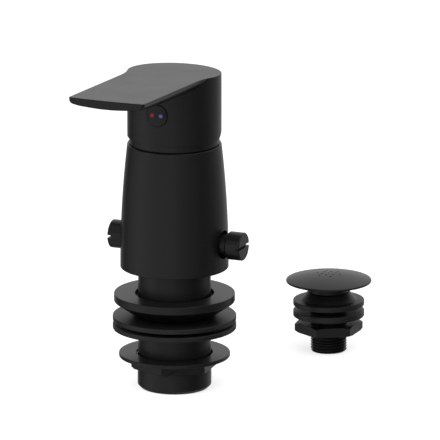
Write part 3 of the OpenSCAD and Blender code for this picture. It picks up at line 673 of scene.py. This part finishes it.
# The block that cuts: half its width, its reach before the tip, its foot and its height
BLOCK_X, BLOCK_Y, BLOCK_Z, BLOCK_RISE = 30, 20, 130, 60
arc_y = TIP_Y + TIP_R
corner_x = HALF_W - CORNER_R + HAIR
corner_y = arc_y - math.sqrt((TIP_R - CORNER_R) ** 2 - (HALF_W - CORNER_R) ** 2)
turn = math.atan2(corner_y - arc_y, corner_x)
right = [(corner_x + CORNER_R * math.cos(turn * i / 10),
          corner_y + CORNER_R * math.sin(turn * i / 10)) for i in range(11)]
right += [(TIP_R * math.cos(a), arc_y + TIP_R * math.sin(a))
          for a in [turn + (-math.pi / 2 - turn) * i / 12 for i in range(1, 13)]]
tip = [(BLOCK_X, corner_y)] + right + [(-x, y) for x, y in right[-2::-1]]
tip += [(-BLOCK_X, corner_y), (-BLOCK_X, TIP_Y - BLOCK_Y), (BLOCK_X, TIP_Y - BLOCK_Y)]
bpy.ops.object.select_all(action="DESELECT")
bpy.ops.mesh.primitive_circle_add(vertices=len(tip), radius=MM, fill_type="NGON")
cutter = bpy.context.object
for vertex, (x, y) in zip(cutter.data.vertices, tip):
    vertex.co = (x * MM, y * MM, BLOCK_Z * MM)
only(cutter)
bpy.ops.object.mode_set(mode="EDIT")
bpy.ops.mesh.select_all(action="SELECT")
bpy.ops.mesh.extrude_region_move(TRANSFORM_OT_translate={"value": (0, 0, BLOCK_RISE * MM)})
bpy.ops.mesh.select_all(action="SELECT")
bpy.ops.mesh.normals_make_consistent(inside=False)
bpy.ops.object.mode_set(mode="OBJECT")
combine(handle, cutter)
print("tip: an outline of", len(tip), "points")

# %% Drum and top face
DRUM_H = 50
bpy.ops.object.select_all(action="DESELECT")
bpy.ops.mesh.primitive_cylinder_add(vertices=224, radius=DRUM_R * MM, depth=DRUM_H * MM,
                                    location=(0, 0, (DRUM_Z + DRUM_H / 2) * MM))
combine(handle, bpy.context.object, "UNION")
cut_plane(handle, (0, 0, TOP_AT_AXIS), (0, math.sin(TOP_SLOPE), math.cos(TOP_SLOPE)))
print("handle:", len(handle.data.polygons), "faces")

# %% [markdown]
# The rear of the drum's foot is cut away on a slant, so that the lever has room to rise by 22
# degrees, and the gap shows as a dark wedge behind. The drum is hollow over the cartridge's
# neck, with a square socket for the stem. The front has a hole for the set screw, and round it
# a flat seat for the index button.

# %% Hollow of the handle
LIFT, LEAN = math.radians(22), math.radians(11)
CEILING_Z, HOLLOW_R, BUTTON_Z = 131.3, 18.3, 133.8
hollow = turned("hollow", [(0, DRUM_Z - 1), (HOLLOW_R, DRUM_Z - 1), (HOLLOW_R, CEILING_Z),
                           (0, CEILING_Z)])
combine(handle, hollow)

# The ceiling's rear half rises by the lift's angle, so that it clears the neck
RAISED_LOW, RAISED_HIGH = CEILING_Z - 3, 145
raised = turned("raised", [(0, RAISED_LOW), (HOLLOW_R, RAISED_LOW), (HOLLOW_R, RAISED_HIGH),
                           (0, RAISED_HIGH)])
cut_plane(raised, (0, -(CEILING_Z - PIVOT_Z) * math.tan(LEAN), CEILING_Z),
          (0, -math.sin(LIFT), math.cos(LIFT)))
combine(handle, raised)


def block(size, turn, foot, rise):
    """A block leaning by an angle about X. Its middle is some way up its own axis from a point."""
    bpy.ops.object.select_all(action="DESELECT")
    bpy.ops.mesh.primitive_cube_add(
        size=1, scale=[s * MM for s in size], rotation=(turn, 0, 0),
        location=[c * MM for c in (foot[0], foot[1] - rise * math.sin(turn),
                                   foot[2] + rise * math.cos(turn))])
    return bpy.context.object


WEDGE, STEM_SOCKET = (60, 120, 60), (7.9, 7.9, 17.8)
BUTTON_SEAT_R, BUTTON_SEAT_Y, SCREW_HOLE_R = 5.35, -19.6, 2.55
# The wedge behind the foot starts where the seam meets the plane through the lifted drum
wedge_foot = (0, (PIVOT_Z - DRUM_Z) * math.tan(LEAN), DRUM_Z)
combine(handle, block(WEDGE, LIFT, wedge_foot, -WEDGE[2] / 2))
combine(handle, block(STEM_SOCKET, LEAN, (0, 0, PIVOT_Z), STEM_SOCKET[2] / 2))
drill(handle, BUTTON_SEAT_R, (0, BUTTON_SEAT_Y, BUTTON_Z), (0, -30, BUTTON_Z), sides=96)
drill(handle, SCREW_HOLE_R, (0, 0, BUTTON_Z), (0, -25, BUTTON_Z), sides=48)
print("handle:", len(handle.data.polygons), "faces once it is hollow")

# %% Edges of the handle
# How near counts as on a face, the height below which an edge is the foot's, and how far out
# the blade's edges start to be broken
NEAR, FOOT_TOP, BLADE_Y = 0.02, 132, -60


def on_top(p):
    """True for a point of the slanted top face."""
    return abs((p.z - TOP_AT_AXIS) * math.cos(TOP_SLOPE) + p.y * math.sin(TOP_SLOPE)) < NEAR


def foot_edge(a, b):
    """True for the edge round the drum's foot."""
    outside = min(math.hypot(a.x, a.y), math.hypot(b.x, b.y)) > DRUM_R - 0.1
    return outside and max(a.z, b.z) < FOOT_TOP


def outer_edge(a, b):
    """True for the top's and tip's edges, and not for the hollow's or the root of the blade."""
    if on_top(a) and on_top(b):
        return True
    return max(a.y, b.y) < BLADE_Y


break_edges(handle, radius=0.35, sharpness=28, keep=outer_edge)
break_edges(handle, radius=0.15, sharpness=28, segments=2, keep=foot_edge)
finish(handle, "satin_black", "lever", "handle")

# %% [markdown]
# ## Index button
# A low round button marks which way to turn: red for hot on the left, blue for cold on the
# right. Its face is curved like the drum and stands 0.45 mm proud of it. The two dots are
# enamel inlays that follow the same curve.

# %% Index button
FACE_R, BUTTON_R, BUTTON_BACK, DOT_R, DOT_AT = 22.15, 5.15, -19.65, 0.9, 2.15
PLUG_L = 10
# The seat of a dot is 0.05 mm wider and deeper than the dot
DOT_BACK, DOT_SEAT_R, DOT_SEAT = -FACE_R + 1.15, DOT_R + 0.05, -FACE_R + 1.2


def faced(name, radius, x, start_y):
    """A round plug along Y whose front is curved like the drum's face."""
    bpy.ops.object.select_all(action="DESELECT")
    bpy.ops.mesh.primitive_cylinder_add(
        vertices=96 if radius > 2 else 32, radius=radius * MM, depth=PLUG_L * MM,
        location=(x * MM, (start_y - PLUG_L / 2) * MM, BUTTON_Z * MM),
        rotation=(math.pi / 2, 0, 0))
    plug = bpy.context.object
    plug.name = name
    apply_place(plug)
    bpy.ops.object.select_all(action="DESELECT")
    bpy.ops.mesh.primitive_cylinder_add(vertices=360, radius=FACE_R * MM, depth=30 * MM,
                                        location=(0, 0, BUTTON_Z * MM))
    combine(plug, bpy.context.object, "INTERSECT")
    return plug


def on_rim(a, b):
    """True for the edges round the button, and not for those of its two small seats."""
    return min(math.hypot(a.x, a.z - BUTTON_Z), math.hypot(b.x, b.z - BUTTON_Z)) > BUTTON_R - 0.1


button = faced("index_button_turned", BUTTON_R, 0, BUTTON_BACK)
for x in (-DOT_AT, DOT_AT):
    drill(button, DOT_SEAT_R, (x, DOT_SEAT, BUTTON_Z), (x, -30, BUTTON_Z), sides=32)
break_edges(button, radius=0.15, sharpness=50, segments=2, keep=on_rim)
finish(button, "satin_black", "lever", "index_button")
for name, x, material, node in (("hot_mark", -DOT_AT, "red_dot", "hot_dot"),
                                ("cold_mark", DOT_AT, "blue_dot", "cold_dot")):
    finish(faced(name, DOT_R, x, DOT_BACK), material, "lever", node)

# %% [markdown]
# ## Spray rose
# The rose sits in the floor of the bidet's bowl. Its threaded tail passes through a cone seal,
# a flat seal and a nut, and opens above into a shallow dish under the domed cap. The thread is
# a true helix: one tooth of the profile is swept by a Screw modifier, cut off square at both
# ends, and trimmed by a turned blank that gives the starting chamfer.

# %% Thread of the rose
ROSE_AT = Vector((42.4, 85.6, 0))
TAIL_R, TAIL_BORE_R, PITCH, THREAD_TOP, THREAD_DEPTH = 8.35, 5.6, 1.337, 9.25, 0.86
# The sweep starts three turns below the foot and is longer than the thread, to be cut to length
TURNS, TURN_STEPS, SEAM_WELD = 13, 72, 0.002 * MM


def put_at_rose(piece):
    """Moves a piece that was turned round the Z axis to the rose's axis."""
    piece.location = ROSE_AT * MM
    apply_place(piece)
    return piece


root_r = TAIL_R - THREAD_DEPTH
# One tooth, by its share of the pitch and its radius
rose_body = line("rose_body_turned", [
    (radius, (share - 3) * PITCH) for share, radius in (
        (0.0, root_r), (0.14, root_r), (0.5, TAIL_R - 0.05), (0.53, TAIL_R), (0.61, TAIL_R),
        (0.64, TAIL_R - 0.05), (1.0, root_r))], closed=False)
screw = rose_body.modifiers.new("Screw", "SCREW")
screw.axis = "Z"
screw.screw_offset = PITCH * MM
screw.iterations = TURNS
screw.steps = screw.render_steps = TURN_STEPS
screw.use_merge_vertices = True
bpy.ops.object.modifier_apply(modifier=screw.name)
only(rose_body)
bpy.ops.object.mode_set(mode="EDIT")
bpy.ops.mesh.select_all(action="SELECT")
bpy.ops.mesh.remove_doubles(threshold=SEAM_WELD)
bpy.ops.object.mode_set(mode="OBJECT")
for height, normal in ((0, (0, 0, -1)), (THREAD_TOP, (0, 0, 1))):
    cut_plane(rose_body, (0, 0, height), normal)
bpy.ops.object.mode_set(mode="EDIT")
bpy.ops.mesh.select_all(action="SELECT")
bpy.ops.mesh.normals_make_consistent(inside=False)
bpy.ops.object.mode_set(mode="OBJECT")
# The blank's foot is a 45-degree cone, which chamfers the first turn
combine(rose_body, turned("tail_blank", [
    (TAIL_BORE_R, -1), (TAIL_R - 1.6, -1), (TAIL_R - 0.6, 0), (TAIL_R + 0.4, 1.0),
    (TAIL_R + 0.4, 11), (TAIL_BORE_R, 11)], steps=144), "INTERSECT")
print("thread:", len(rose_body.data.polygons), "faces")

# %% [markdown]
# The rest of the tail and the dish are turned in one and joined to the thread. The dish opens
# upwards and carries the cap on its rim. Two seals and the nut clamp it to the bowl's floor, and
# each has its profile in mm, with the radius first.

# %% Rose body, seals and nut
RELIEF_R, RELIEF_TOP, TAIL_TOP = TAIL_R - 0.45, 10.0, 28.3
DISH_R, DISH_LIP, DISH_FLOOR = 18.1, 33.37, 31.6
SEAL_BORE_R, SEAL_R = 8.45, 16.5
dish = turned("dish_blank", [
    (TAIL_BORE_R, 9.1), (RELIEF_R, 9.1), (RELIEF_R, RELIEF_TOP), (TAIL_R, RELIEF_TOP),
    (TAIL_R, TAIL_TOP), (9.0, 28.35), (9.15, 28.5), (9.25, 30.4), (9.6, 31.0), (10.6, 31.5),
    (DISH_R, 33.0), (DISH_R, DISH_LIP), (17.3, DISH_LIP), (TAIL_BORE_R, DISH_FLOOR)], steps=144)
combine(rose_body, dish, "UNION")
put_at_rose(rose_body)
finish(rose_body, "satin_black", "mixer", "rose_body")

cone_seal = turned("rose_cone_seal_moulded", [
    (SEAL_BORE_R, 22.0), (SEAL_R, 22.0), (SEAL_R, 24.5), (12.9, 24.5), (9.7, TAIL_TOP),
    (SEAL_BORE_R, TAIL_TOP)], steps=144)
break_edges(cone_seal, radius=0.35)
finish(put_at_rose(cone_seal), "rubber", "mixer", "rose_cone_seal")

flat_seal = turned("rose_flat_seal_moulded", [
    (SEAL_BORE_R, 16.8), (SEAL_R, 16.8), (SEAL_R, 19.6), (SEAL_BORE_R, 19.6)], steps=144)
break_edges(flat_seal, radius=0.35)
finish(put_at_rose(flat_seal), "rubber", "mixer", "rose_flat_seal")

NUT_FLATS, NUT_LOW, NUT_HIGH = 27.7, 9.4, 13.9
rose_nut = hexagon("rose_nut_turned", NUT_FLATS, NUT_LOW, NUT_HIGH, [
    (0, 8.5), (14.7, 8.5), (14.7, NUT_LOW), (16.1, 10.1), (16.1, 13.1), (14.3, NUT_HIGH),
    (0, NUT_HIGH)])
drill(rose_nut, SEAL_BORE_R, (0, 0, 5), (0, 0, 20), sides=144)
break_edges(rose_nut, radius=0.15, segments=2)
finish(put_at_rose(rose_nut), "satin_black", "mixer", "rose_nut")

# %% [markdown]
# The cap is a thin dome over a small rim. Thirteen jets are drilled through it: one in the
# middle, six round it, and six more outside them, turned by half a step.

# %% Rose cap
CAP_R, CAP_Z, RIM_H, APEX_Z, DOME_T, WALL_T = 19.8, 33.0, 0.9, 36.9, 0.9, 1.6
# Each ring of six jets: its radius and the angle of its first jet
JET_R, JET_RINGS = 0.5, ((3.2, 30), (5.5, 0))
cap_bore_r = CAP_R - WALL_T
dome_h = APEX_Z - CAP_Z - RIM_H
dome_r = (CAP_R ** 2 + dome_h ** 2) / (2 * dome_h)


def dome(radius, thickness):
    """Height of the dome's outer face, or of its inner one, at a distance from its axis."""
    return APEX_Z - dome_r + math.sqrt((dome_r - thickness) ** 2 - radius ** 2)


inside = [(cap_bore_r * i / 12, dome(cap_bore_r * i / 12, DOME_T)) for i in range(13)]
outside = [(CAP_R * i / 16, dome(CAP_R * i / 16, 0)) for i in range(16, -1, -1)]
rim = [(cap_bore_r, CAP_Z), (CAP_R, CAP_Z)]
rose_cap = turned("rose_cap_pressed", inside + rim + outside, steps=192)
break_edges(rose_cap, radius=0.3, sharpness=25)
jets = [(0, 0)] + [(radius, start + 60 * i) for radius, start in JET_RINGS for i in range(6)]
for radius, angle in jets:
    x, y = radius * math.cos(math.radians(angle)), radius * math.sin(math.radians(angle))
    drill(rose_cap, JET_R, (x, y, 30), (x, y, 40), sides=16)
finish(put_at_rose(rose_cap), "satin_black", "mixer", "rose_cap")
print("jets:", len(jets))

# %% [markdown]
# ## Floor and light
# The photograph shows the object on plain white. The floor is a pale paint that glows a little
# for the camera alone, so it comes out white and still takes a soft shadow, and nothing mirrors
# it. A satin black coat shows mostly the room, so the room is drawn in the world's colour: tones
# that change by angle round the object give the body its lights and its dark streak, a brighter
# band low on the back wall lights the lever's top, and light high up shows the tops from behind.
# Three soft lamps give the shadow and are not mirrored. The room stands still in the world, so
# it stays the same from every side that the object is looked at.

# %% Floor
FLOOR_SIZE, FLOOR_GLOW = 6, 0.7
bpy.ops.object.select_all(action="DESELECT")
bpy.ops.mesh.primitive_plane_add(size=FLOOR_SIZE)
floor = bpy.context.object
floor.name = "floor"
floor_paint, tree = new_material("white_floor_paint")
rays = add(tree, "ShaderNodeLightPath")
clear = add(tree, "ShaderNodeMath",
            {0: rays.outputs["Is Glossy Ray"], 1: rays.outputs["Is Transmission Ray"]},
            operation="MAXIMUM")
seen = add(tree, "ShaderNodeMath", {0: rays.outputs["Is Camera Ray"], 1: clear.outputs[0]},
           operation="MAXIMUM")
paint = add(tree, "ShaderNodeBsdfDiffuse", {"Color": colour("#C8C8C8")})
glow = add(tree, "ShaderNodeEmission", {"Color": (1, 1, 1, 1), "Strength": FLOOR_GLOW})
bright = add(tree, "ShaderNodeAddShader", {0: paint.outputs[0], 1: glow.outputs[0]})
surface(tree, add(tree, "ShaderNodeMixShader", {0: seen.outputs[0], 1: paint.outputs[0],
                                                2: bright.outputs[0]}))
floor.data.materials.append(floor_paint)
floor.visible_glossy = False
print("floor:", tuple(floor.dimensions), "m")

# %% Tones of the room
# Light round the room, by degrees from straight behind the camera, anticlockwise from above
WALLS = ((0, 0.32), (36, 0.19), (65, 0.07), (99, 0.18), (134, 0.34), (160, 0.48), (180, 0.43),
         (205, 0.28), (226, 0.03), (250, 0.25), (280, 0.54), (318, 0.41))
# Light added behind the object, by the sine of its height over the horizon
BEHIND = ((0.0, 0.0), (0.05, 0.43), (0.13, 0.43), (0.23, 0.0), (0.36, 0.25))
print("tones:", len(WALLS), "round the room and", len(BEHIND), "up its back wall")

# %% Room
def ramp_between(tree, value, start, end, low=0.0, high=1.0):
    """A value that runs from low to high while another runs from start to end."""
    return add(tree, "ShaderNodeMapRange", {"Value": value, "From Min": start, "From Max": end,
                                            "To Min": low, "To Max": high}).outputs["Result"]


world = bpy.data.worlds.new("white_studio")
bpy.context.scene.world = world
world.use_nodes = True
tree = world.node_tree
tree.nodes.clear()
direction = add(tree, "ShaderNodeTexCoord").outputs["Generated"]
# Turned so that X points away from the camera and Y to its left
facing = add(tree, "ShaderNodeMapping",
             {"Vector": direction, "Rotation": (0, 0, math.radians(270) - VIEW_AZIMUTH)})
way = add(tree, "ShaderNodeSeparateXYZ", {"Vector": facing.outputs["Vector"]})
height = add(tree, "ShaderNodeSeparateXYZ", {"Vector": direction}).outputs["Z"]
# The gradient runs once round the horizon, starting behind the camera
round_way = add(tree, "ShaderNodeTexGradient", {"Vector": facing.outputs["Vector"]},
                gradient_type="RADIAL")
walls = add(tree, "ShaderNodeValToRGB", {"Fac": round_way.outputs["Fac"]})
rise = add(tree, "ShaderNodeValToRGB", {"Fac": height})
for ramp, tones in ((walls.color_ramp, [(angle / 360, light) for angle, light in WALLS]),
                    (rise.color_ramp, BEHIND)):
    for i, (position, light) in enumerate(tones):
        element = ramp.elements[i] if i < 2 else ramp.elements.new(position)
        element.position = position
        element.color = (light, light, light, 1)
print("the room is turned by", round(math.degrees(VIEW_AZIMUTH)), "degrees, as the camera is")

# %% Light by height and side
# The walls are a little darker low down
ground = ramp_between(tree, height, -0.6, -0.3, 0.75, 1.0)
# Overhead, light is added on the camera's right and taken away on its left
overhead = ramp_between(tree, height, 0.2, 0.4)
side = ramp_between(tree, way.outputs["Y"], -0.4, 0.3, 0.35, -0.22)
canopy = add(tree, "ShaderNodeMath", {0: overhead, 1: side}, operation="MULTIPLY")
# Behind the object, the back wall's own light takes over from that
BACK_START, BACK_FULL = 0.2, 0.7
back = ramp_between(tree, way.outputs["X"], BACK_START, BACK_FULL)
panel = add(tree, "ShaderNodeMix", {"Factor": back, "A": canopy.outputs[0],
                                    "B": rise.outputs["Color"]}, data_type="FLOAT")
level = add(tree, "ShaderNodeMath",
            {0: walls.outputs["Color"], 1: ground, 2: panel.outputs["Result"]},
            operation="MULTIPLY_ADD", use_clamp=True)
print("the back wall takes over between X", BACK_START, "and X", BACK_FULL)

# %% Room and backdrop
# The camera sees plain white behind the object, and the object mirrors the room
rays = add(tree, "ShaderNodeLightPath")
seen = add(tree, "ShaderNodeMath",
           {0: rays.outputs["Is Camera Ray"], 1: rays.outputs["Is Transmission Ray"]},
           operation="MAXIMUM")
room = add(tree, "ShaderNodeBackground", {"Color": level.outputs[0], "Strength": 1.0})
backdrop = add(tree, "ShaderNodeBackground", {"Color": (1, 1, 1, 1), "Strength": 1.0})
mix = add(tree, "ShaderNodeMixShader", {0: seen.outputs[0], 1: room.outputs[0],
                                        2: backdrop.outputs[0]})
add(tree, "ShaderNodeOutputWorld", {"Surface": mix.outputs[0]})
print("world:", world.name, "with", len(tree.nodes), "nodes")

# %% Lamps
LAMP_DISTANCE, LAMP_AIM = 1.2, Vector((0, 0, 0.08))  # m


def lamp(name, angle, height, size, power):
    """A soft square lamp, placed by its degrees round from the camera and up, in m and W."""
    light = bpy.data.lights.new(name, "AREA")
    light.shape = "SQUARE"
    light.size, light.energy = size, power
    holder = bpy.data.objects.new(name, light)
    bpy.context.scene.collection.objects.link(holder)
    a, e = VIEW_AZIMUTH + math.radians(angle), math.radians(height)
    way = Vector((math.sin(a) * math.cos(e), -math.cos(a) * math.cos(e), math.sin(e)))
    holder.location = LAMP_AIM + way * LAMP_DISTANCE
    holder.rotation_euler = way.to_track_quat("Z", "Y").to_euler()
    holder.visible_camera = holder.visible_glossy = False


lamp("softbox_left", angle=-45, height=35, size=0.9, power=9)
lamp("softbox_right", angle=35, height=35, size=0.9, power=4)
lamp("softbox_above", angle=20, height=80, size=1.2, power=6)
print("lamps:", len(bpy.data.lights))
